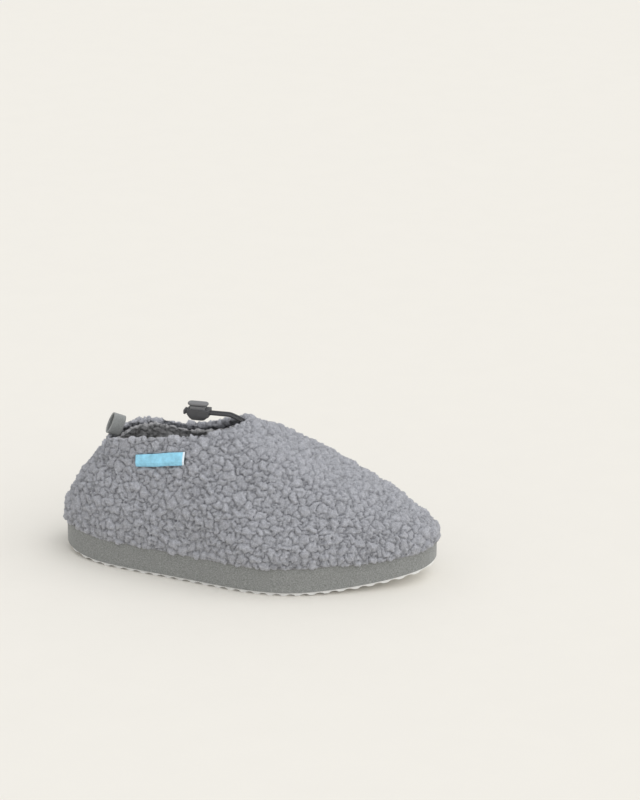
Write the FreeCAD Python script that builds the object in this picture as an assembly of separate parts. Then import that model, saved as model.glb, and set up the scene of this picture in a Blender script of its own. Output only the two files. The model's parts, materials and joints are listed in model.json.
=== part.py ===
import FreeCAD, Part
import math
import os

# Closed-heel house slipper for the right foot: a platform sole, a curly fleece upper with a lined
# opening, and an elastic drawcord round the opening with a push-button cord lock.
# Millimetres. +X runs from heel to toe, +Y to the big-toe side, +Z up. The origin is on the
# outsole's flat underside, at half the sole's length. Stations are distances from the heel's back.

Vector = FreeCAD.Vector

# Sole: plan shape and side profile
SOLE_LENGTH = 268.0
LITTLE_TOE_SIDE = [(3.6, -13.5), (13.5, -24.2), (32, -34), (62, -41.5), (100, -48.5),
                   (140, -56), (174, -55.5), (206, -45), (232, -33), (252, -21.5), (264, -9.5)]
TOE_TIP = (268.0, 5.0)
BIG_TOE_SIDE = [(264, 18), (252, 29.5), (232, 39), (206, 43), (176, 40), (140, 33.5),
                (100, 30.5), (62, 31), (32, 30), (13.5, 23.5), (3.6, 13)]
HEEL_ROCKER_START = 38.0
HEEL_ROCKER_RISE = 3.4
TOE_SPRING_START = 165.0
TOE_SPRING_RISE = 11.5
OUTSOLE_THICKNESS = 4.0
OUTSOLE_INSET = 1.6
MIDSOLE_TOP = 22.0
WRAP_THICKNESS = 1.5
LAYER_GAP = 0.1
TREAD_PITCH = 9.6
TREAD_GROOVE = 6.6
TREAD_DEPTH = 1.1
# Half-size of cutting shapes that reach past the sole on every side
BEYOND_SOLE = 80.0

# Footbed, inside the lining
FOOTBED_INSET = 8.8
BOARD_THICKNESS = 1.5
FOAM_THICKNESS = 5.5
COVER_THICKNESS = 1.2

# Upper: a ring of cloth from the sole's edge up to the rim of the opening
FLEECE_OVERHANG = 1.5
FLEECE_LIFT = 0.25
RIM = [(31, 0, 87), (39, -17.5, 90.5), (60, -25.5, 95.5), (85, -26.5, 99), (108, -22.5, 103),
       (126, -13, 107.3), (134, 0, 108.5), (126, 11, 105.5), (108, 18, 97.5), (85, 22, 91.5),
       (60, 21, 91), (39, 14, 90)]
# How far the wall stands out and up from the sole's edge, and out and down from the rim:
# share of the way round, sole out, sole up, rim out, rim down
WALL_LEAN = [(0.0, 3, 13, 17.5, 29), (0.15, 5, 20, 10, 20), (0.28, 7, 26, 23, 13),
             (0.38, 7, 18, 41, -5), (0.5, 5, 22, 60, 35), (0.62, 7, 18, 41, -5),
             (0.72, 7, 26, 24, 11), (0.85, 5, 20, 14, 22)]
COLLAR_SEAM = 0.855
SEAM_GAP = 0.3
FLEECE_THICKNESS = 4.5
COLLAR_THICKNESS = 2.9
LINING_DEPTH = 6.2
LINING_THICKNESS = 2.0
STIFFENER_DEPTH = 5.25
STIFFENER_THICKNESS = 0.7

# Drawcord and cord lock
CORD_RADIUS = 1.1
CORD_DEPTH = 4.5
CORD_HEIGHT_SHARE = 0.92
CORD_JOIN_GAP = 0.6
STRAND_SPACING = 3.6
STRAND_LEVEL = 109.6
STRAND_ROUTE = [(138.0, 100.9), (123.1, STRAND_LEVEL), (88.6, STRAND_LEVEL)]
CORD_END_LENGTH = 1.8
CORD_END_ROUNDING = 0.7
LOCK_STATION = 97.0
LOCK_LENGTH = 16.0
LOCK_WIDTH = 9.6
# The housing's tiers from the bottom up: length, and underside's level from the cord
LOCK_TIERS = [(10.4, -5.2), (12.8, -4.2), (14.6, -3.0), (LOCK_LENGTH, -1.8), (14.6, 1.8)]
LOCK_TOP = 2.7
LOCK_TAPER = 0.4
LOCK_BOSS_HEIGHT = 4.6
LOCK_BOSS_LENGTH = 8.4
LOCK_BOSS_PROUD = 0.4
POCKET_CLEARANCE = 0.1
RUNNING_CLEARANCE = 0.06
STEM_LENGTH = 10.6
STEM_WIDTH = 6.4
STEM_BAR = 0.8
PRESS_TRAVEL = 1.6
NECK_HEIGHT = 1.9
CAP_LENGTH = 14.8
CAP_WIDTH = 6.6
CAP_THICKNESS = 2.4
CAP_TAPER = 1.1
CAP_CROWN = 0.7
SPRING_RADIUS = 1.7
SPRING_WIRE = 0.16
SPRING_TURNS = 3
SPRING_FLOOR = -4.6

# Heel tab and side label
TAB_WIDTH = 10.0
TAB_DEPTH = 4.6
TAB_HEIGHT = 12.8
TAB_TWIST = -40.0
TAB_CLOTH = 1.1
TAB_LIFT = 2.6
TAB_FORWARD = 1.5
LABEL_START = 60.0
LABEL_LENGTH = 36.5
LABEL_DROP = 0.115
LABEL_CLOTH = 0.9
LABEL_LIFT = 0.3


def rocker(station):
    """Lift of the sole at a station: an arc at the heel, flat, and an arc at the toe."""
    heel_run = HEEL_ROCKER_START - station
    toe_run = station - TOE_SPRING_START
    run, rise, reach = 0.0, 1.0, 1.0
    if heel_run > 0:
        run, rise, reach = heel_run, HEEL_ROCKER_RISE, HEEL_ROCKER_START
    if toe_run > 0:
        run, rise, reach = toe_run, TOE_SPRING_RISE, SOLE_LENGTH - TOE_SPRING_START
    radius = (reach ** 2 + rise ** 2) / (2 * rise)
    return radius - math.sqrt(radius ** 2 - run ** 2)


def at(station, y, z):
    """A point of the part, from its station along the sole."""
    return Vector(station - SOLE_LENGTH / 2, y, z)


def closed_curve(points):
    curve = Part.BSplineCurve()
    curve.interpolate(Points=points, PeriodicFlag=True)
    return curve


def outline_stations():
    heel_back = [(0.0, 0.0)]
    return heel_back + LITTLE_TOE_SIDE + [TOE_TIP] + BIG_TOE_SIDE


OUTLINE = closed_curve([at(s, y, 0) for s, y in outline_stations()])
RIM_CURVE = closed_curve([at(s, y, z) for s, y, z in RIM])
OUTLINE_LENGTH = OUTLINE.length()
RIM_LENGTH = RIM_CURVE.length()


def around(curve, length, share):
    """Parameter of the point at a share of the way round a closed curve."""
    first = curve.FirstParameter
    return curve.parameterAtDistance((share % 1.0) * length, first)


def outward(curve, parameter):
    """Level direction pointing out of a closed curve that runs anticlockwise from above."""
    tangent = curve.tangent(parameter)[0]
    return Vector(tangent.y, -tangent.x, 0).normalize()


def lean(share):
    """The wall's four handles at a share of the way round, eased between the listed shares."""
    share = share % 1.0
    table = WALL_LEAN + [(1.0,) + WALL_LEAN[0][1:]]
    for before, after in zip(table, table[1:]):
        if share <= after[0]:
            t = (share - before[0]) / (after[0] - before[0])
            t = t * t * (3 - 2 * t)
            return [a + (b - a) * t for a, b in zip(before[1:], after[1:])]
    return list(WALL_LEAN[0][1:])


def wall_point(share, height):
    """A point of the upper's outer face: share goes round, height from sole edge 0 to rim 1."""
    parameter = around(OUTLINE, OUTLINE_LENGTH, share)
    side = outward(OUTLINE, parameter)
    edge = OUTLINE.value(parameter)
    foot = edge + side * FLEECE_OVERHANG
    foot.z = MIDSOLE_TOP + FLEECE_LIFT + rocker(edge.x + SOLE_LENGTH / 2)
    rim = RIM_CURVE.value(around(RIM_CURVE, RIM_LENGTH, share))
    to_foot = Vector(foot.x - rim.x, foot.y - rim.y, 0).normalize()
    foot_out, foot_up, rim_out, rim_down = lean(share)
    low = foot + side * foot_out + Vector(0, 0, foot_up)
    high = rim + to_foot * rim_out - Vector(0, 0, rim_down)
    t, r = height, 1 - height
    return foot * r ** 3 + low * (3 * r * r * t) + high * (3 * r * t * t) + rim * t ** 3


def wall_normal(share, height):
    step = 0.002
    low, high = max(height - step, 0.0), min(height + step, 1.0)
    along = wall_point(share + step, height) - wall_point(share - step, height)
    up = wall_point(share, high) - wall_point(share, low)
    return along.cross(up).normalize()


def wall_at(share, height, depth):
    """A point below (or, with negative depth, above) the upper's outer face."""
    return wall_point(share, height) - wall_normal(share, height) * depth


def wall_sheet(spots, depth):
    """A smooth face through a grid of (share, height) spots, at one depth."""
    surface = Part.BSplineSurface()
    surface.interpolate([[wall_at(s, h, depth) for s, h in row] for row in spots])
    return surface


def grid(shares, heights):
    return [[(s, h) for h in heights] for s in shares]


def steps(first, last, count):
    return [first + (last - first) * i / count for i in range(count + 1)]


def wall_panel(spots, outer, inner):
    """A curved panel of the upper between two depths, as a closed solid with six faces."""
    skin = wall_sheet(spots, outer)
    back = wall_sheet(spots, inner)
    faces = [skin.toShape(), back.toShape()]
    u_first, u_last, v_first, v_last = skin.bounds()
    for parameter in (u_first, u_last):
        pair = [sheet.uIso(parameter).toShape() for sheet in (skin, back)]
        faces.append(Part.makeRuledSurface(*pair))
    for parameter in (v_first, v_last):
        pair = [sheet.vIso(parameter).toShape() for sheet in (skin, back)]
        faces.append(Part.makeRuledSurface(*pair))
    shell = Part.makeShell(faces)
    shell.sewShape()
    return closed_solid(shell)


def closed_solid(shell):
    solid = Part.makeSolid(shell)
    if solid.Volume < 0:
        solid.reverse()
    return solid


def share_at(station, height, first, last):
    """The share round the wall, between first and last, where it passes a station."""
    goal = station - SOLE_LENGTH / 2
    for _ in range(40):
        middle = (first + last) / 2
        if (wall_point(middle, height).x < goal) == (wall_point(first, height).x < goal):
            first = middle
        else:
            last = middle
    return first


def prism(inset):
    """The sole's plan shape, drawn in by an inset, as a tall upright prism."""
    points = []
    for share in steps(0.0, 1.0, 64)[:-1]:
        parameter = around(OUTLINE, OUTLINE_LENGTH, share)
        points.append(OUTLINE.value(parameter) - outward(OUTLINE, parameter) * inset)
    face = Part.Face(Part.Wire(closed_curve(points).toShape()))
    face.translate(Vector(0, 0, -BEYOND_SOLE))
    return face.extrude(Vector(0, 0, 2 * BEYOND_SOLE))


def rocker_line(level):
    """The sole's side profile at a level, run on past both ends: arc, straight, arc."""
    heel_end, toe_end = -4.0, SOLE_LENGTH + 4.0
    heel_middle = (HEEL_ROCKER_START + heel_end) / 2
    toe_middle = (TOE_SPRING_START + toe_end) / 2
    ends = [heel_end, heel_middle, HEEL_ROCKER_START, TOE_SPRING_START, toe_middle, toe_end]
    p = [at(s, 0, level + rocker(s)) for s in ends]
    return [Part.Arc(p[0], p[1], p[2]).toShape(), Part.makeLine(p[2], p[3]),
            Part.Arc(p[3], p[4], p[5]).toShape()]


def slab(bottom, top):
    """A layer between two levels that follows the rocker, wider than the sole."""
    low, high = rocker_line(bottom), rocker_line(top)
    ends = [Part.makeLine(low[0].firstVertex().Point, high[0].firstVertex().Point),
            Part.makeLine(low[-1].lastVertex().Point, high[-1].lastVertex().Point)]
    wire = Part.Wire(Part.__sortEdges__(low + high + ends))
    half_width = Vector(0, BEYOND_SOLE, 0)
    layer = Part.Face(wire).extrude(half_width * 2)
    layer.translate(half_width * -1)
    return layer


def sole_layer(inset, bottom, top):
    return prism(inset).common(slab(bottom, top)).Solids[0]


def make_outsole():
    """Rubber outsole with shallow hollows across its underside that scallop its edge."""
    sole = sole_layer(OUTSOLE_INSET, 0.0, OUTSOLE_THICKNESS)
    radius = (TREAD_GROOVE ** 2 / 4 + TREAD_DEPTH ** 2) / (2 * TREAD_DEPTH)
    count = int(SOLE_LENGTH / 2 / TREAD_PITCH)
    hollows = []
    for i in range(-count - 1, count + 1):
        middle = (i + 0.5) * TREAD_PITCH
        roof = rocker(middle + SOLE_LENGTH / 2) + TREAD_DEPTH
        hollows.append(Part.makeCylinder(radius, 2 * BEYOND_SOLE,
                                         Vector(middle, -BEYOND_SOLE, roof - radius),
                                         Vector(0, 1, 0)))
    return sole.cut(Part.makeCompound(hollows)).Solids[0]


def make_midsole():
    return sole_layer(WRAP_THICKNESS + LAYER_GAP, OUTSOLE_THICKNESS + LAYER_GAP, MIDSOLE_TOP)


def make_wrap():
    band = sole_layer(0.0, OUTSOLE_THICKNESS + LAYER_GAP, MIDSOLE_TOP)
    return band.cut(prism(WRAP_THICKNESS)).Solids[0]


def make_footbed():
    """Board, foam and cover, each on the one below."""
    layers = {}
    level = MIDSOLE_TOP + LAYER_GAP
    for name, thickness in (("insole_board", BOARD_THICKNESS), ("footbed_foam", FOAM_THICKNESS),
                            ("footbed_cover", COVER_THICKNESS)):
        layers[name] = sole_layer(FOOTBED_INSET, level, level + thickness)
        level += thickness + LAYER_GAP
    return layers


def back_seam_shares(curve_length, count):
    """Shares all the way round from the back seam, closer together beside the seam."""
    gap = SEAM_GAP / 2 / curve_length
    even = steps(gap, 1 - gap, count)
    step = even[1] - even[0]
    start = [gap, gap + 0.15 * step, gap + 0.45 * step]
    return start + even[1:-1] + [1 - share for share in reversed(start)]


def make_fleece():
    heights = steps(0.0, COLLAR_SEAM - 0.002, 12)
    return wall_panel(grid(back_seam_shares(OUTLINE_LENGTH, 96), heights), 0.0, FLEECE_THICKNESS)


def make_collar():
    heights = steps(COLLAR_SEAM + 0.002, 1.0, 5)
    return wall_panel(grid(back_seam_shares(RIM_LENGTH, 96), heights), 0.0, COLLAR_THICKNESS)


def make_lining():
    heights = steps(0.0, 1.0, 14)
    return wall_panel(grid(back_seam_shares(OUTLINE_LENGTH, 96), heights), LINING_DEPTH,
                      LINING_DEPTH + LINING_THICKNESS)


def make_heel_counter():
    return wall_panel(grid(steps(-0.13, 0.13, 26), steps(0.08, 0.5, 8)), STIFFENER_DEPTH,
                      STIFFENER_DEPTH + STIFFENER_THICKNESS)


def make_toe_puff():
    return wall_panel(grid(steps(0.42, 0.58, 24), steps(0.06, 0.34, 8)), STIFFENER_DEPTH,
                      STIFFENER_DEPTH + STIFFENER_THICKNESS)


def make_label():
    """Folded woven label that hangs from the collar's seam on the little-toe side."""
    top = COLLAR_SEAM - 0.01
    heights = steps(top - LABEL_DROP, top, 4)
    stations = steps(LABEL_START, LABEL_START + LABEL_LENGTH, 10)
    spots = [[(share_at(s, h, 0.02, 0.48), h) for h in heights] for s in stations]
    return wall_panel(spots, -LABEL_LIFT - LABEL_CLOTH, -LABEL_LIFT)


def make_heel_tab():
    """A strip of suede folded over into a standing loop, its ends in the collar's seam."""
    rim = wall_at(0.0, 1.0, LINING_DEPTH / 2)
    outer_radius = TAB_DEPTH / 2
    inner_radius = outer_radius - TAB_CLOTH
    straight = TAB_HEIGHT - outer_radius
    loop = Part.makeBox(TAB_DEPTH, TAB_WIDTH, straight, Vector(-outer_radius, 0, 0))
    loop = loop.fuse(Part.makeCylinder(outer_radius, TAB_WIDTH, Vector(0, 0, straight),
                                       Vector(0, 1, 0)))
    hole = Part.makeBox(2 * inner_radius, TAB_WIDTH, straight, Vector(-inner_radius, 0, 0))
    hole = hole.fuse(Part.makeCylinder(inner_radius, TAB_WIDTH, Vector(0, 0, straight),
                                       Vector(0, 1, 0)))
    loop = loop.cut(hole).removeSplitter()
    loop.translate(Vector(0, -TAB_WIDTH / 2, 0))
    loop.rotate(Vector(0, 0, 0), Vector(0, 0, 1), TAB_TWIST)
    loop.translate(Vector(rim.x + TAB_FORWARD, 0, rim.z + TAB_LIFT))
    return loop.Solids[0]


def rounded_route(points):
    """Straight runs joined by tangent arcs, each arc as large as its two runs allow."""
    edges, radii = [], []
    start = points[0]
    for before, corner, after in zip(points, points[1:], points[2:]):
        back, ahead = before - corner, after - corner
        reach = 0.45 * min(back.Length, ahead.Length)
        enter = corner + back.normalize() * reach
        leave = corner + ahead.normalize() * reach
        half_turn = (math.pi - back.getAngle(ahead)) / 2
        radius = reach / math.tan(half_turn)
        bisector = (back + ahead).normalize()
        radii.append(radius)
        nearest = radius / math.cos(half_turn) - radius
        edges.append(Part.makeLine(start, enter))
        edges.append(Part.Arc(enter, corner + bisector * nearest, leave).toShape())
        start = leave
    edges.append(Part.makeLine(start, points[-1]))
    print("cord of", len(points), "points, smallest radius", round(min(radii), 1))
    return Part.Wire(edges)


def tube(points, radius):
    path = rounded_route(points)
    ring = Part.Wire(Part.makeCircle(radius, points[0], points[1] - points[0]))
    return Part.Solid(path.makePipeShell([ring], True, False))


def make_channel_cord():
    """The elastic inside the collar, all the way round from strand to strand."""
    ends = []
    for side in (1, -1):
        start, corner = strand_points(side)[:2]
        ends.append(start + (start - corner).normalize() * CORD_JOIN_GAP)
    points = [ends[0], wall_at(0.514, CORD_HEIGHT_SHARE + 0.02, CORD_DEPTH)]
    points += [wall_at(s, CORD_HEIGHT_SHARE, CORD_DEPTH) for s in steps(0.54, 1.46, 36)]
    points += [wall_at(0.486, CORD_HEIGHT_SHARE + 0.02, CORD_DEPTH), ends[1]]
    return tube(points, CORD_RADIUS)


def strand_points(side):
    return [at(s, side * STRAND_SPACING / 2, z) for s, z in STRAND_ROUTE]


def rounded_block(length, width, low, high, radius):
    """An upright block with rounded corners at the lock's station, between levels from the cord."""
    block = Part.makeBox(length, width, high - low,
                         at(LOCK_STATION - length / 2, -width / 2, STRAND_LEVEL + low))
    upright = [e for e in block.Edges if abs(e.tangentAt(e.FirstParameter).z) > 0.99]
    return block.makeFillet(radius, upright)


def strand_bores(radius, length):
    bores = [Part.makeCylinder(radius, length,
                               at(LOCK_STATION - length / 2, side * STRAND_SPACING / 2, STRAND_LEVEL),
                               Vector(1, 0, 0)) for side in (-1, 1)]
    return Part.makeCompound(bores)


def stem_bottom():
    """Underside of the plunger's stem, from the cord."""
    return -(CORD_RADIUS + RUNNING_CLEARANCE + STEM_BAR)


def make_lock_body():
    """Tiered housing with two cord bores, a boss round them, and a pocket for the plunger."""
    uppers = [low for length, low in LOCK_TIERS[1:]] + [LOCK_TOP]
    tiers = []
    for (length, low), high in zip(LOCK_TIERS, uppers):
        width = LOCK_WIDTH - (LOCK_LENGTH - length) * LOCK_TAPER
        tiers.append(rounded_block(length, width, low, high, width * 0.35))
    boss_width = LOCK_WIDTH + 2 * LOCK_BOSS_PROUD
    tiers.append(Part.makeBox(LOCK_BOSS_LENGTH, boss_width, LOCK_BOSS_HEIGHT,
                              at(LOCK_STATION, -boss_width / 2,
                                 STRAND_LEVEL - LOCK_BOSS_HEIGHT / 2)))
    body = tiers[0].fuse(tiers[1:]).removeSplitter()
    floor = stem_bottom() - PRESS_TRAVEL - POCKET_CLEARANCE
    pocket = rounded_block(STEM_LENGTH + 2 * POCKET_CLEARANCE, STEM_WIDTH + 2 * POCKET_CLEARANCE,
                           floor, LOCK_TOP + 1, 0.5)
    well = Part.makeCylinder(SPRING_RADIUS + 2 * SPRING_WIRE, LOCK_TOP - SPRING_FLOOR,
                             at(LOCK_STATION, 0, STRAND_LEVEL + SPRING_FLOOR))
    bores = strand_bores(CORD_RADIUS + RUNNING_CLEARANCE, 2 * LOCK_LENGTH)
    return body.cut([pocket, well, bores]).Solids[0]


def make_lock_plunger():
    """Push button: an oblong cap on a stem whose slots the strands run through."""
    cap_bottom = LOCK_TOP + NECK_HEIGHT
    cap = rounded_block(CAP_LENGTH, CAP_WIDTH, cap_bottom, cap_bottom + CAP_THICKNESS,
                        CAP_WIDTH * 0.45)
    middle = STRAND_LEVEL + cap_bottom + CAP_THICKNESS / 2
    level_edges = [e for e in cap.Edges if e.BoundBox.ZLength < 0.01]
    cap = cap.makeChamfer(CAP_TAPER, [e for e in level_edges if e.BoundBox.ZMax < middle])
    crown = [e for e in cap.Edges if e.BoundBox.ZMin > middle and e.BoundBox.ZLength < 0.01]
    cap = cap.makeFillet(CAP_CROWN, crown)
    stem = rounded_block(STEM_LENGTH, STEM_WIDTH, stem_bottom(), cap_bottom + 0.1, 0.5)
    plunger = cap.fuse(stem).removeSplitter()
    slot_width = 2 * (CORD_RADIUS + RUNNING_CLEARANCE)
    slots = [Part.makeBox(LOCK_LENGTH, slot_width, slot_width + PRESS_TRAVEL,
                          at(LOCK_STATION - LOCK_LENGTH / 2,
                             side * STRAND_SPACING / 2 - slot_width / 2,
                             STRAND_LEVEL - slot_width / 2)) for side in (-1, 1)]
    return plunger.cut(slots).Solids[0]


def make_lock_spring():
    """Coil spring between the well's floor and the stem."""
    low = STRAND_LEVEL + SPRING_FLOOR + SPRING_WIRE + 0.05
    high = STRAND_LEVEL + stem_bottom() - SPRING_WIRE - 0.05
    helix = Part.makeHelix((high - low) / SPRING_TURNS, high - low, SPRING_RADIUS)
    ring = Part.Wire(Part.makeCircle(SPRING_WIRE, Vector(SPRING_RADIUS, 0, 0), Vector(0, 1, 0)))
    coil = Part.Solid(Part.Wire(helix).makePipeShell([ring], True, False))
    coil.translate(at(LOCK_STATION, 0, low))
    return coil


def make_cord_end():
    """The crimped end behind the lock where the two strands are joined."""
    width = STRAND_SPACING + 2 * CORD_RADIUS + 0.8
    height = 2 * CORD_RADIUS + 1.2
    corner = at(STRAND_ROUTE[-1][0] - CORD_END_LENGTH, -width / 2, STRAND_LEVEL - height / 2)
    bead = Part.makeBox(CORD_END_LENGTH, width, height, corner)
    return bead.makeFillet(CORD_END_ROUNDING, bead.Edges).Solids[0]


def all_nodes():
    nodes = {"outsole": make_outsole(), "midsole_core": make_midsole(), "sole_wrap": make_wrap()}
    nodes.update(make_footbed())
    nodes["fleece_upper"] = make_fleece()
    nodes["collar_band"] = make_collar()
    nodes["lining"] = make_lining()
    nodes["heel_counter"] = make_heel_counter()
    nodes["toe_puff"] = make_toe_puff()
    nodes["heel_tab"] = make_heel_tab()
    nodes["side_label"] = make_label()
    nodes["channel_cord"] = make_channel_cord()
    nodes["strand_outer"] = tube(strand_points(-1), CORD_RADIUS)
    nodes["strand_inner"] = tube(strand_points(1), CORD_RADIUS)
    nodes["lock_body"] = make_lock_body()
    nodes["lock_plunger"] = make_lock_plunger()
    nodes["lock_spring"] = make_lock_spring()
    nodes["cord_end"] = make_cord_end()
    return nodes


def main():
    os.makedirs("parts", exist_ok=True)
    for name, shape in all_nodes().items():
        box = shape.BoundBox
        print(name, shape.ShapeType, "valid", shape.isValid(), "volume", round(shape.Volume, 1),
              "solids", len(shape.Solids),
              "x", round(box.XMin, 1), round(box.XMax, 1), "y", round(box.YMin, 1),
              round(box.YMax, 1), "z", round(box.ZMin, 1), round(box.ZMax, 1))
        shape.exportStep("parts/" + name + ".step")


main()
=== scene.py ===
import json
import math

import bpy
import numpy as np
from mathutils import Matrix, Vector, kdtree, noise
from mathutils.bvhtree import BVHTree


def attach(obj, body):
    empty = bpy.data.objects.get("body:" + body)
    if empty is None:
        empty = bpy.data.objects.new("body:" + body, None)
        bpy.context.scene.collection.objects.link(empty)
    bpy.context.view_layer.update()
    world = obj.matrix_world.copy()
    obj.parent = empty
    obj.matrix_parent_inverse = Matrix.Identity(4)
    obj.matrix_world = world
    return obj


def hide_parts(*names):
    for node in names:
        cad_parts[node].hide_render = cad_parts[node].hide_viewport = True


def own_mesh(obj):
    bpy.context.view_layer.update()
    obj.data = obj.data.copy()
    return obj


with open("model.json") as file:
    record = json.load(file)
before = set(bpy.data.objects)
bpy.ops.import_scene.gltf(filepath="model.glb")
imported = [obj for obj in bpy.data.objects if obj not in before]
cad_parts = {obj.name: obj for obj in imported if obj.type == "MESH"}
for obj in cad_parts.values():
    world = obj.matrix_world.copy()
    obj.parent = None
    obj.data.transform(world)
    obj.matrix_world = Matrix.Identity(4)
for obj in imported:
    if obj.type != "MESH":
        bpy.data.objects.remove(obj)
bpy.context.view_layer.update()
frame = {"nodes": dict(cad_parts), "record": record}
NODES = frame["nodes"]
SEED = 7
RNG = np.random.default_rng(SEED)
noise.seed_set(SEED)

# Everything is in metres, in the CAD frame: +X to the toe, +Y to the big toe, +Z up.
CLOTH_VOXEL = 0.0008
INSIDE_VOXEL = CLOTH_VOXEL * 1.25
LABEL_VOXEL = 0.00035

# Curls of the fleece and, with a shorter pile, of the lining
CURL_SIZE = 0.0064
CURL_HEIGHT = 0.0036
CURLET_SIZE = 0.0021
CURLET_HEIGHT = 0.0009
FUZZ_SIZE = 0.0012
FUZZ_HEIGHT = 0.0009
BULGE_SIZE = 0.022
BULGE_HEIGHT = 0.0018
LINING_CURL = 0.0050
LINING_CURL_HEIGHT = 0.0026
FOOTBED_PILE = 0.6              # of the lining's

# Form of one curl, as shares of its size or its height
CURL_CROWDING = 0.78
CURL_SIZE_SPREAD = 0.45
CURL_LOWEST = 0.45
CURL_WARP_SIZE = 0.6
CURL_WARP = 0.45
CURL_SLOPE = 0.85
CURL_MEAN = 0.45
CURLET_MEAN = 0.5
# Painted shade in the creases and painted highlight on the tops, from each point's height on the big
# and small curls; each curl's random lift also varies its tone
CURL_PAINTED_SHADING = 0.75
CURLET_PAINTED_SHADING = 0.3
CREASE_PAINTED_SHADING = -0.05

# Edges and seams of the cloth
SEAM_REACH = 0.0009
SEAM_CLOSE = 0.0005
LABEL_PINCH = 0.0022
LABEL_REACH = 0.0022
BARE_DEPTH = 0.0025
PILE_RISE = 0.002
LINING_REACH = 0.007
EDGE_DROOP = 0.0016
EDGE_REACH = 0.006
TOE_DROOP = 0.0045
TOE_START = 0.060
TOE_LENGTH = 0.070
WRAP_DROP = 0.0015
WRAP_DROP_Y = 0.012
WRAP_DROP_WIDTH = 0.024

# Where the opening's far edge stands higher
FAR_RIM_RISE = 0.0032
FAR_RIM_X = -0.074
FAR_RIM_LENGTH = 0.020
FAR_RIM_Y = 0.002
FAR_RIM_WIDTH = 0.012
FAR_RIM_Z = 0.062
FAR_RIM_DEPTH = 0.022

# Side label
LABEL_TUCK = 0.0022
LABEL_TUCK_HEIGHT = 0.0035
LABEL_WAVE = 0.009
LABEL_WAVE_DEPTH = 0.0007
LABEL_SWELL = 0.00005
LABEL_COLUMNS = 12
LABEL_END_X = -0.0388

# Heel tab
TAB_BASE = (-0.1005, 0.0, 0.0870)
TAB_HEIGHT = 0.0146
TAB_HALF_OPEN = 0.0026
TAB_WIDTH = 0.010
TAB_CLOTH = 0.0010
TAB_TWIST = math.radians(-44)
TAB_LEAN = math.radians(-26)
TAB_STEPS = 40
TAB_ROWS = 12

# Drawcord's strands and their route's points as (x, z)
STRAND_ROUTE = [(0.0040, 0.1009), (-0.0109, 0.1096), (-0.0200, 0.1096), (-0.0454, 0.1096)]
STRAND_OFFSET = 0.0018
CORD_DIAMETER = 0.0022

# Stage, light and camera
BACKDROP = (0.828, 0.804, 0.750)
BACKDROP_SEEN = (0.879, 0.855, 0.799)
FLOOR_SIZE = 30
DOME_RADIUS = 14
WORLD_STRENGTH = 0.66
KEY_STRENGTH = 1.55
KEY_DIRECTION = (-0.80, 0.30, -1.0)
FILL_STRENGTH = 0.15
FILL_DIRECTION = (0.6, 0.6, -0.9)
SOFT_ANGLE = math.radians(80)
SUN_DISTANCE = 3
CAMERA_AZIMUTH = math.radians(14.37)
CAMERA_ELEVATION = math.radians(22.48)
CAMERA_DISTANCE = 2.0
CAMERA_TARGET = (0, 0, 0.045)
CAMERA_SENSOR = 36
CAMERA_LENS = 127.26
CAMERA_SHIFT = (0.08825, 0.127125)


# ---------------------------------------------------------------- materials
FIBRE_SCALE = 1500
PILE_STRAND_SCALE = 520
BRAID_SCALE = 380
THREAD_SCALE = 900
LABEL_PATCH_SCALE = 260
FLOOR_GRAIN_SCALE = 30
DOME_GRAIN_SCALE = 2


def new_material(name):
    """A new material, its node tree and its Principled shader."""
    mat = bpy.data.materials.new(name)
    mat.use_nodes = True
    return mat, mat.node_tree, mat.node_tree.nodes["Principled BSDF"]


def set_inputs(shader, **values):
    """Sets the shader's sockets by name, with _ for each space in the name."""
    for name, value in values.items():
        shader.inputs[name.replace("_", " ")].default_value = value


def object_coords(tree):
    coords = tree.nodes.new("ShaderNodeTexCoord")
    return coords.outputs["Object"]


def noise_tex(tree, vector, scale, detail=4.0, rough=0.6):
    tex = tree.nodes.new("ShaderNodeTexNoise")
    tex.inputs["Scale"].default_value = scale
    tex.inputs["Detail"].default_value = detail
    tex.inputs["Roughness"].default_value = rough
    tree.links.new(vector, tex.inputs["Vector"])
    return tex.outputs["Fac"]


def wave_tex(tree, vector, direction, scale, distortion):
    tex = tree.nodes.new("ShaderNodeTexWave")
    tex.bands_direction = direction
    tex.inputs["Scale"].default_value = scale
    tex.inputs["Distortion"].default_value = distortion
    tree.links.new(vector, tex.inputs["Vector"])
    return tex.outputs["Fac"]


def ramp(tree, factor, stops):
    """Colours along a factor, from a list of (position, colour)."""
    node = tree.nodes.new("ShaderNodeValToRGB")
    node.color_ramp.elements[0].position = stops[0][0]
    node.color_ramp.elements[0].color = (*stops[0][1], 1)
    node.color_ramp.elements[1].position = stops[-1][0]
    node.color_ramp.elements[1].color = (*stops[-1][1], 1)
    for position, color in stops[1:-1]:
        node.color_ramp.elements.new(position).color = (*color, 1)
    tree.links.new(factor, node.inputs["Fac"])
    return node.outputs["Color"]


def add_bump(tree, shader, height, strength, distance):
    bump = tree.nodes.new("ShaderNodeBump")
    bump.inputs["Strength"].default_value = strength
    bump.inputs["Distance"].default_value = distance
    tree.links.new(height, bump.inputs["Height"])
    tree.links.new(bump.outputs["Normal"], shader.inputs["Normal"])


def shades(color, low, high):
    """Two shades of one colour, darker and lighter."""
    return [tuple(c * low for c in color), tuple(c * high for c in color)]


def color_mix(tree, first, blend="MIX"):
    """A mix node with its first colour linked, ready for its second colour and its factor."""
    mix = tree.nodes.new("ShaderNodeMix")
    mix.data_type = "RGBA"
    mix.blend_type = blend
    tree.links.new(first, mix.inputs["A"])
    return mix


def multiply(tree, first, second, factor):
    mix = color_mix(tree, first, "MULTIPLY")
    mix.inputs["Factor"].default_value = factor
    tree.links.new(second, mix.inputs["B"])
    return mix.outputs["Result"]


def attribute(tree, name):
    node = tree.nodes.new("ShaderNodeAttribute")
    node.attribute_name = name
    return node.outputs["Fac"]


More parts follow.
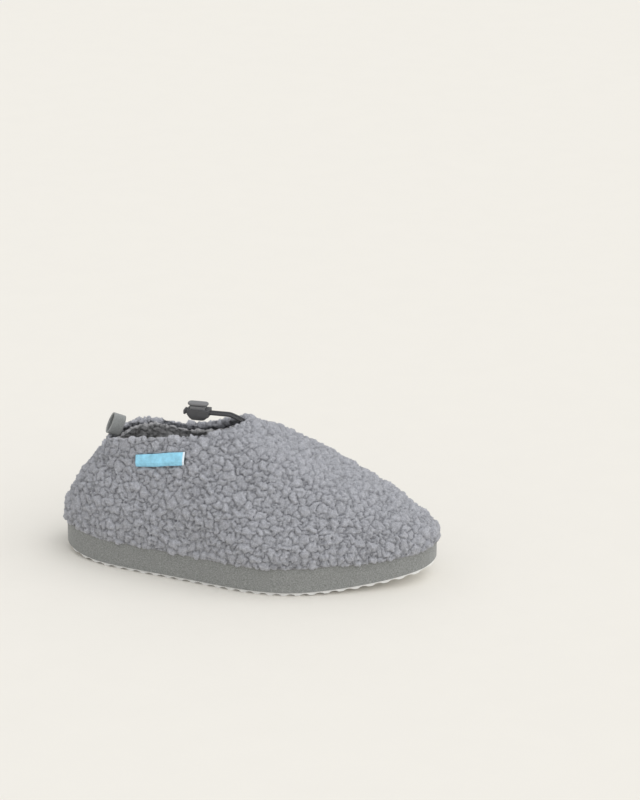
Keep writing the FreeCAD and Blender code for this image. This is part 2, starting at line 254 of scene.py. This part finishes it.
def plain_material(name, color, roughness, grain, grain_depth, spread=0.12, sheen=0.0,
                   metallic=0.0):
    """A matt material with a fine grain in its colour and on its surface."""
    mat, tree, shader = new_material(name)
    fine = noise_tex(tree, object_coords(tree), grain)
    dark, light = shades(color, 1 - spread, 1 + spread)
    tree.links.new(ramp(tree, fine, [(0.3, dark), (0.7, light)]), shader.inputs["Base Color"])
    set_inputs(shader, Roughness=roughness, Sheen_Weight=sheen, Metallic=metallic)
    add_bump(tree, shader, fine, 0.6, grain_depth)
    return mat


def fleece_material(name, color, painted_crease_shade=0.32):
    """Curly fleece: painted shade in the creases between curls and a painted highlight on their
    tops, with a fine fibre grain.
    """
    mat, tree, shader = new_material(name)
    vector = object_coords(tree)
    fibre = noise_tex(tree, vector, FIBRE_SCALE, 6.0, 0.75)
    strands = noise_tex(tree, vector, PILE_STRAND_SCALE, 3.0, 0.6)
    # Painted shade in the creases (curl 0) and painted highlight on the curls' tops (curl 1)
    dark, light = shades(color, painted_crease_shade, 1.16)
    base = ramp(tree, attribute(tree, "curl"), [(0.0, dark), (0.40, color), (1.0, light)])
    tint = ramp(tree, fibre, [(0.32, (0.52, 0.52, 0.53)), (0.66, (1.28, 1.28, 1.28))])
    base = multiply(tree, base, tint, 0.8)
    tint = ramp(tree, strands, [(0.35, (0.80, 0.80, 0.81)), (0.62, (1.1, 1.1, 1.1))])
    base = multiply(tree, base, tint, 0.8)
    tree.links.new(base, shader.inputs["Base Color"])
    set_inputs(shader, Roughness=1.0, Sheen_Weight=0.3, Sheen_Roughness=0.6,
               Specular_IOR_Level=0.05)
    add_bump(tree, shader, fibre, 1.0, 0.0009)
    return mat


def braid_material(name, color):
    """Braided elastic: diagonal ribs round the cord."""
    mat, tree, shader = new_material(name)
    ribs = wave_tex(tree, object_coords(tree), "DIAGONAL", BRAID_SCALE, 1.5)
    dark, light = shades(color, 0.6, 1.6)
    tree.links.new(ramp(tree, ribs, [(0.2, dark), (0.8, light)]), shader.inputs["Base Color"])
    set_inputs(shader, Roughness=0.85)
    add_bump(tree, shader, ribs, 0.7, 0.0002)
    return mat


def past_x(tree, vector, x):
    """1 where the surface lies past x along the slipper, else 0."""
    split = tree.nodes.new("ShaderNodeSeparateXYZ")
    tree.links.new(vector, split.inputs["Vector"])
    past = tree.nodes.new("ShaderNodeMath")
    past.operation = "GREATER_THAN"
    past.inputs[1].default_value = x
    tree.links.new(split.outputs["X"], past.inputs[0])
    return past.outputs["Value"]


def label_material(name, color, end_color, end_x):
    """Blank woven satin: fine cross threads, and a pale folded end past end_x."""
    mat, tree, shader = new_material(name)
    vector = object_coords(tree)
    threads = wave_tex(tree, vector, "X", THREAD_SCALE, 0.6)
    patch = noise_tex(tree, vector, LABEL_PATCH_SCALE, 3.0)
    dark, light = shades(color, 0.80, 1.12)
    cloth = ramp(tree, patch, [(0.3, dark), (0.7, light)])
    tint = ramp(tree, threads, [(0.2, (0.9, 0.9, 0.9)), (0.8, (1.05, 1.05, 1.05))])
    mix = color_mix(tree, multiply(tree, cloth, tint, 1.0))
    mix.inputs["B"].default_value = (*end_color, 1)
    tree.links.new(past_x(tree, vector, end_x), mix.inputs["Factor"])
    tree.links.new(mix.outputs["Result"], shader.inputs["Base Color"])
    set_inputs(shader, Roughness=0.6)
    add_bump(tree, shader, threads, 0.5, 0.0001)
    return mat


MATERIALS = {
    "fleece": fleece_material("fleece", (0.455, 0.464, 0.500)),
    "outsole": plain_material("outsole", (0.86, 0.86, 0.85), 0.6, 900, 0.0001, 0.04),
    "midsole": plain_material("midsole", (0.70, 0.70, 0.68), 0.8, 700, 0.0002, 0.05),
    "wrap": plain_material("wrap", (0.245, 0.252, 0.245), 0.95, 1300, 0.0005, 0.38, 0.25),
    "board": plain_material("board", (0.35, 0.27, 0.18), 0.9, 500, 0.0002),
    "foam": plain_material("foam", (0.75, 0.72, 0.65), 0.9, 1200, 0.0003),
    "footbed": fleece_material("footbed", (0.30, 0.295, 0.29)),
    "lining": fleece_material("lining", (0.44, 0.44, 0.445)),
    "stiffener": plain_material("stiffener", (0.6, 0.58, 0.52), 0.9, 800, 0.0002),
    "tab": plain_material("tab", (0.29, 0.30, 0.295), 0.9, 1500, 0.0003, 0.25, 0.3),
    "label": label_material("label", (0.33, 0.72, 0.94), (0.82, 0.90, 0.95), LABEL_END_X),
    "cord": braid_material("cord", (0.060, 0.060, 0.064)),
    "lock": plain_material("lock", (0.090, 0.090, 0.094), 0.55, 1500, 0.00005, 0.10),
    "cap": plain_material("cap", (0.19, 0.19, 0.195), 0.5, 1500, 0.00005, 0.10),
    "spring": plain_material("spring", (0.55, 0.55, 0.56), 0.3, 1500, 0.00002, 0.06,
                             metallic=1.0),
    "cord_end": plain_material("cord_end", (0.090, 0.090, 0.094), 0.55, 1500, 0.00005, 0.10),
}


def paint(obj, slot):
    obj.data.materials.clear()
    obj.data.materials.append(MATERIALS[slot])


def place(obj, node, slot, body="slipper"):
    paint(obj, slot)
    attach(obj, body)
    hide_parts(node)


# ---------------------------------------------------------------- meshes and their points
def add_object(name, data):
    obj = bpy.data.objects.new(name, data)
    bpy.context.scene.collection.objects.link(obj)
    return obj


def copied(node, name):
    obj = add_object(name, NODES[node].data.copy())
    obj.matrix_world = NODES[node].matrix_world
    return obj


def remeshed(node, name, voxel):
    """A closed, even mesh over a CAD node's shape."""
    obj = copied(node, name)
    modifier = obj.modifiers.new("even", "REMESH")
    modifier.mode = "VOXEL"
    modifier.voxel_size = voxel
    graph = bpy.context.evaluated_depsgraph_get()
    even = bpy.data.meshes.new_from_object(obj.evaluated_get(graph))
    obj.modifiers.clear()
    obj.data = even
    even.shade_smooth()
    return obj


def vectors(elements, attribute_name):
    """The vectors that a mesh's vertices or normals hold, one row each."""
    values = np.empty(len(elements) * 3)
    elements.foreach_get(attribute_name, values)
    return values.reshape(-1, 3)


def points_of(obj):
    return vectors(obj.data.vertices, "co")


def normals_of(obj):
    return vectors(obj.data.vertex_normals, "vector")


def move_points(obj, points):
    obj.data.vertices.foreach_set("co", points.ravel())
    obj.data.update()


def step(values, start, width):
    """0 up to start, and from there in a straight line to 1 over the width."""
    return np.clip((values - start) / width, 0, 1)


def tree_of(points):
    tree = kdtree.KDTree(len(points))
    for i, p in enumerate(points):
        tree.insert(p, i)
    tree.balance()
    return tree


def surface_of(node):
    mesh = NODES[node].data
    return BVHTree.FromPolygons([v.co for v in mesh.vertices],
                                [p.vertices for p in mesh.polygons])


def distances(surface, points, reach):
    """How far each point is from a surface, up to a reach."""
    found = (surface.find_nearest(p, reach)[3] for p in points)
    return np.array([reach if d is None else d for d in found])


def rough(points, size):
    """Smooth noise of a given size at each point."""
    return np.array([noise.noise(Vector(p) / size) for p in points])


def warped(points, size, amount):
    """Points pushed about by smooth noise, so that cells between them aren't straight-edged."""
    push = np.array([noise.noise_vector(Vector(p) / size) for p in points])
    return points + push * amount


def spread_out(points, spacing):
    """Points picked from a cloud so that none is nearer to another than the spacing."""
    kept, cells = [], {}
    for i in RNG.permutation(len(points)):
        p = points[i]
        cell = tuple(np.floor(p / spacing).astype(int))
        near = [q for dx in (-1, 0, 1) for dy in (-1, 0, 1) for dz in (-1, 0, 1)
                for q in cells.get((cell[0] + dx, cell[1] + dy, cell[2] + dz), ())]
        if all(np.sum((p - q) ** 2) > spacing ** 2 for q in near):
            cells.setdefault(cell, []).append(p)
            kept.append(p)
    return np.array(kept)


# ---------------------------------------------------------------- cloth with pile
COLLAR_SURFACE = surface_of("collar_band")
FLEECE_SURFACE = surface_of("fleece_upper")
LINING_SURFACE = surface_of("lining")
LABEL_SURFACE = surface_of("side_label")
WRAP_SURFACE = surface_of("sole_wrap")


class Curls:
    """Curl centres spread over a cloud of points, each with its own size and height."""

    def __init__(self, cloud, spacing):
        centres = spread_out(cloud, spacing * CURL_CROWDING)
        self.spacing = spacing
        self.tree = tree_of(centres)
        self.size = RNG.uniform(0.0, CURL_SIZE_SPREAD, len(centres)) * spacing
        self.lift = RNG.uniform(CURL_LOWEST, 1.0, len(centres))

    def heights(self, points):
        """How high each point stands on its curl: 0 in the creases, 1 on top."""
        height = np.empty(len(points))
        moved = warped(points, self.spacing * CURL_WARP_SIZE, self.spacing * CURL_WARP)
        for i, p in enumerate(moved):
            near = sorted((d - self.size[j], j) for _, j, d in self.tree.find_n(p, 4))
            edge = min((near[1][0] - near[0][0]) / self.spacing / CURL_SLOPE, 1.0)
            height[i] = math.sqrt(1 - (1 - edge) ** 2) * self.lift[near[0][1]]
        return height


def add_pile(obj, curls, curlets, curl_height, share, beside=(), under=None):
    """Pushes a cloth out into curls with smaller curls on them.

    It meets the surfaces beside it along their seams, and lies flat under another piece.
    """
    everything = points_of(obj)
    weight = share(everything)
    bare = weight > 0
    points = everything[bare]
    normals = normals_of(obj)[bare]
    ratio = curl_height / CURL_HEIGHT
    big, small = curls.heights(points), curlets.heights(points)
    height = (big - CURL_MEAN) * curl_height
    fine = (small - CURLET_MEAN) * CURLET_HEIGHT + rough(points, FUZZ_SIZE) * FUZZ_HEIGHT
    height += fine * ratio
    height += rough(points, BULGE_SIZE) * BULGE_HEIGHT * ratio
    if under:
        pressed = 1 - distances(under, points, LABEL_REACH) / LABEL_REACH
        height -= LABEL_PINCH * np.clip(pressed, 0, 1) ** 2
    for surface in beside:
        at_seam = distances(surface, points, SEAM_REACH) < SEAM_REACH
        height = np.where(at_seam, np.maximum(height, SEAM_CLOSE), height)
    everything[bare] += normals * (height * weight[bare])[:, None]
    # The curl attribute holds painted shade for the creases and painted highlight for the tops
    painted_shading = np.zeros(len(everything))
    painted_shading[bare] = np.clip(big * CURL_PAINTED_SHADING + small * CURLET_PAINTED_SHADING + CREASE_PAINTED_SHADING, 0, 1)
    obj.data.attributes.new("curl", "FLOAT", "POINT").data.foreach_set("value", painted_shading)
    move_points(obj, everything)


def outside_only(points):
    """1 on the upper's outer face and 0 on its hidden face beside the lining."""
    return step(distances(LINING_SURFACE, points, LINING_REACH), BARE_DEPTH, PILE_RISE)


def everywhere(points):
    return np.ones(len(points))


def raise_far_rim(obj):
    """Lifts the opening's edge a little on the big-toe side, towards the heel."""
    points = points_of(obj)
    along = np.exp(-((points[:, 0] - FAR_RIM_X) / FAR_RIM_LENGTH) ** 2)
    across = step(points[:, 1], FAR_RIM_Y, FAR_RIM_WIDTH)
    up = step(points[:, 2], FAR_RIM_Z, FAR_RIM_DEPTH)
    points[:, 2] += FAR_RIM_RISE * along * across * up
    move_points(obj, points)


def hang_over_wrap(fleece):
    """Lets the fleece hang down over the wrap's top edge, and further at the toe."""
    points = points_of(fleece)
    ahead = step(points[:, 0], TOE_START, TOE_LENGTH)
    points[:, 2] -= TOE_DROOP * ahead ** 2 * (3 - 2 * ahead)
    low = np.clip(1 - distances(WRAP_SURFACE, points, EDGE_REACH) / EDGE_REACH, 0, 1)
    points[:, 2] -= EDGE_DROOP * low
    move_points(fleece, points)


def make_upper():
    """The fleece and the collar, with one field of curls that runs on across their seam."""
    fleece = remeshed("fleece_upper", "fleece", CLOTH_VOXEL)
    collar = remeshed("collar_band", "collar", CLOTH_VOXEL)
    cloud = np.concatenate([points_of(fleece), points_of(collar)])
    curls, curlets = Curls(cloud, CURL_SIZE), Curls(cloud, CURLET_SIZE)
    add_pile(fleece, curls, curlets, CURL_HEIGHT, outside_only,
             [COLLAR_SURFACE, WRAP_SURFACE], LABEL_SURFACE)
    add_pile(collar, curls, curlets, CURL_HEIGHT, everywhere, [FLEECE_SURFACE], LABEL_SURFACE)
    hang_over_wrap(fleece)
    raise_far_rim(fleece)
    raise_far_rim(collar)
    place(fleece, "fleece_upper", "fleece")
    place(collar, "collar_band", "fleece")


def make_inside():
    """The lining and the footbed, both with a shorter pile."""
    lining = remeshed("lining", "inner_lining", INSIDE_VOXEL)
    footbed = remeshed("footbed_cover", "footbed", INSIDE_VOXEL)
    cloud = np.concatenate([points_of(lining), points_of(footbed)])
    curls, curlets = Curls(cloud, LINING_CURL), Curls(cloud, CURLET_SIZE)
    add_pile(lining, curls, curlets, LINING_CURL_HEIGHT, everywhere)
    raise_far_rim(lining)
    add_pile(footbed, curls, curlets, LINING_CURL_HEIGHT * FOOTBED_PILE, everywhere)
    place(lining, "lining", "lining")
    place(footbed, "footbed_cover", "footbed")


# ---------------------------------------------------------------- wrap, label and heel tab
def make_wrap():
    """The suede wrap, its lower edge drawn down further on the little-toe side."""
    wrap = copied("sole_wrap", "wrap")
    points = points_of(wrap)
    low = points[:, 2] < 0.5 * (points[:, 2].min() + points[:, 2].max())
    side = step(-points[:, 1], -WRAP_DROP_Y, WRAP_DROP_WIDTH)
    points[:, 2] -= WRAP_DROP * side * low
    move_points(wrap, points)
    place(wrap, "sole_wrap", "wrap")


def foot_line(points):
    """The level of the label's lower edge at each point's place along it."""
    order = np.argsort(points[:, 0])
    columns = np.array_split(order, LABEL_COLUMNS)
    middles = [points[c, 0].mean() for c in columns]
    feet = [points[c, 2].min() for c in columns]
    return np.interp(points[:, 0], middles, feet)


def make_label():
    """The folded label, with soft bends and its lower edge tucked into the fleece."""
    label = remeshed("side_label", "label", LABEL_VOXEL)
    points, normals = points_of(label), normals_of(label)
    outward = np.array([0.0, -1.0, 0.0])
    wave = rough(points * [1, 0, 1], LABEL_WAVE) * LABEL_WAVE_DEPTH
    points += outward * wave[:, None] + normals * LABEL_SWELL
    near_foot = np.clip(1 - (points[:, 2] - foot_line(points)) / LABEL_TUCK_HEIGHT, 0, 1)
    points[:, 1] += LABEL_TUCK * near_foot
    move_points(label, points)
    place(label, "side_label", "label")


def loop_section(steps, half_thickness):
    """Outer and inner outlines of a tall oval loop seen on edge, from its foot round to its foot."""
    outer, inner = [], []
    for k in range(steps + 1):
        turn = math.pi * (2 * k / steps - 1)
        across = TAB_HALF_OPEN * math.sin(turn)
        up = TAB_HEIGHT * 0.5 * (1 + math.cos(turn))
        normal = Vector((TAB_HEIGHT * 0.5 * math.sin(turn), TAB_HALF_OPEN * math.cos(turn)))
        normal = normal.normalized() * half_thickness
        outer.append((across + normal.x, up + normal.y))
        inner.append((across - normal.x, up - normal.y))
    return outer, inner


def loop_faces(ring_size):
    """The sides of the swept loop, and the strips that close its two open edges."""
    faces = []
    for row in range(TAB_ROWS):
        for k in range(ring_size):
            a, b = row * ring_size + k, row * ring_size + (k + 1) % ring_size
            faces.append((a, b, b + ring_size, a + ring_size))
    for row, flip in ((0, False), (TAB_ROWS, True)):
        for k in range(TAB_STEPS):
            far = ring_size - 1 - k
            quad = [row * ring_size + i for i in (k, far, far - 1, k + 1)]
            faces.append(quad[::-1] if flip else quad)
    return faces


def make_tab():
    """A strip of suede folded into a standing loop."""
    outer, inner = loop_section(TAB_STEPS, TAB_CLOTH / 2)
    ring = outer + inner[::-1]
    vertices = [(u, TAB_WIDTH * (row / TAB_ROWS - 0.5), z)
                for row in range(TAB_ROWS + 1) for u, z in ring]
    mesh = bpy.data.meshes.new("heel_loop")
    mesh.from_pydata(vertices, [], loop_faces(len(ring)))
    mesh.update()
    mesh.shade_smooth()
    tab = add_object("heel_loop", mesh)
    mesh.transform(Matrix.Translation(TAB_BASE) @ Matrix.Rotation(TAB_TWIST, 4, "Z")
                   @ Matrix.Rotation(TAB_LEAN, 4, "X"))
    place(tab, "heel_tab", "tab")


# ---------------------------------------------------------------- drawcord and its lock
def make_strand(name, node, side):
    """One of the two strands that run from the collar through the lock to the cord end."""
    curve = bpy.data.curves.new(name, "CURVE")
    curve.dimensions = "3D"
    curve.bevel_depth = CORD_DIAMETER / 2
    curve.bevel_resolution = 6
    curve.use_fill_caps = True
    spline = curve.splines.new("NURBS")
    spline.points.add(len(STRAND_ROUTE) - 1)
    for point, (x, z) in zip(spline.points, STRAND_ROUTE):
        point.co = (x, side * STRAND_OFFSET, z, 1)
    spline.order_u = 3
    spline.use_endpoint_u = True
    spline.resolution_u = 24
    strand = add_object(name, curve)
    place(strand, node, "cord")
    x, z = STRAND_ROUTE[0]


def make_lock_coil():
    """The lock's spring, with a mesh of its own."""
    coil = copied("lock_spring", "lock_coil")
    place(coil, "lock_spring", "spring", "cord_lock")
    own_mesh(coil)


# ---------------------------------------------------------------- stage, light and camera
def stage_material(name, color, grain_scale, spread, socket):
    """A nearly even colour on one of the shader's sockets, with no highlight."""
    mat, tree, shader = new_material(name)
    grain = noise_tex(tree, object_coords(tree), grain_scale)
    low, high = shades(color, 1 - spread, 1 + spread)
    tree.links.new(ramp(tree, grain, [(0.3, low), (0.7, high)]), shader.inputs[socket])
    set_inputs(shader, Specular_IOR_Level=0.0)
    return mat, shader


def make_floor():
    bpy.ops.mesh.primitive_plane_add(size=FLOOR_SIZE, location=(0, 0, 0))
    floor = bpy.context.object
    floor.name = "floor"
    mat, shader = stage_material("floor", BACKDROP, FLOOR_GRAIN_SCALE, 0.005, "Base Color")
    set_inputs(shader, Roughness=1.0)
    floor.data.materials.append(mat)


def make_dome():
    """A backdrop as bright as the floor, seen past its far edge and lighting nothing."""
    bpy.ops.mesh.primitive_uv_sphere_add(radius=DOME_RADIUS, segments=64, ring_count=32)
    dome = bpy.context.object
    dome.name = "backdrop"
    mat, shader = stage_material("backdrop", BACKDROP_SEEN, DOME_GRAIN_SCALE, 0.002,
                                 "Emission Color")
    set_inputs(shader, Emission_Strength=1.0, Base_Color=(0, 0, 0, 1))
    dome.data.materials.append(mat)
    dome.visible_diffuse = dome.visible_glossy = dome.visible_shadow = False
    dome.visible_transmission = dome.visible_volume_scatter = False


def make_world():
    world = bpy.data.worlds.new("studio")
    world.use_nodes = True
    back = world.node_tree.nodes["Background"]
    set_inputs(back, Color=(1.0, 1.0, 1.0, 1), Strength=WORLD_STRENGTH)
    bpy.context.scene.world = world


def make_sun(name, direction, strength):
    """A wide, soft sun, so that the floor is evenly lit right to the edges of the picture."""
    data = bpy.data.lights.new(name, "SUN")
    data.angle = SOFT_ANGLE
    data.energy = strength
    light = add_object(name, data)
    light.rotation_mode = "QUATERNION"
    light.rotation_quaternion = Vector(direction).to_track_quat("-Z", "Y")
    light.location = -Vector(direction) * SUN_DISTANCE


def make_camera():
    """The camera at the photographed view, with the slipper low and left in the picture."""
    level = math.cos(CAMERA_ELEVATION)
    back = Vector((math.sin(CAMERA_AZIMUTH) * level, -math.cos(CAMERA_AZIMUTH) * level,
                   math.sin(CAMERA_ELEVATION)))
    data = bpy.data.cameras.new("camera")
    data.sensor_width = CAMERA_SENSOR
    data.lens = CAMERA_LENS
    data.shift_x, data.shift_y = CAMERA_SHIFT
    data.dof.use_dof = False
    camera = add_object("camera", data)
    camera.location = Vector(CAMERA_TARGET) + back * CAMERA_DISTANCE
    camera.rotation_mode = "QUATERNION"
    camera.rotation_quaternion = (-back).to_track_quat("-Z", "Y")
    bpy.context.scene.camera = camera


# ---------------------------------------------------------------- the whole scene
for part in frame["record"]["subparts"]:
    paint(NODES[part["node"]], part["material_slot"])

make_upper()
make_inside()
make_wrap()
make_label()
make_tab()
make_strand("strand_outer_cord", "strand_outer", -1)
make_strand("strand_inner_cord", "strand_inner", 1)
make_lock_coil()

make_floor()
make_dome()
make_world()
make_sun("key", KEY_DIRECTION, KEY_STRENGTH)
make_sun("fill", FILL_DIRECTION, FILL_STRENGTH)
make_camera()
bpy.context.scene.view_settings.view_transform = "Standard"
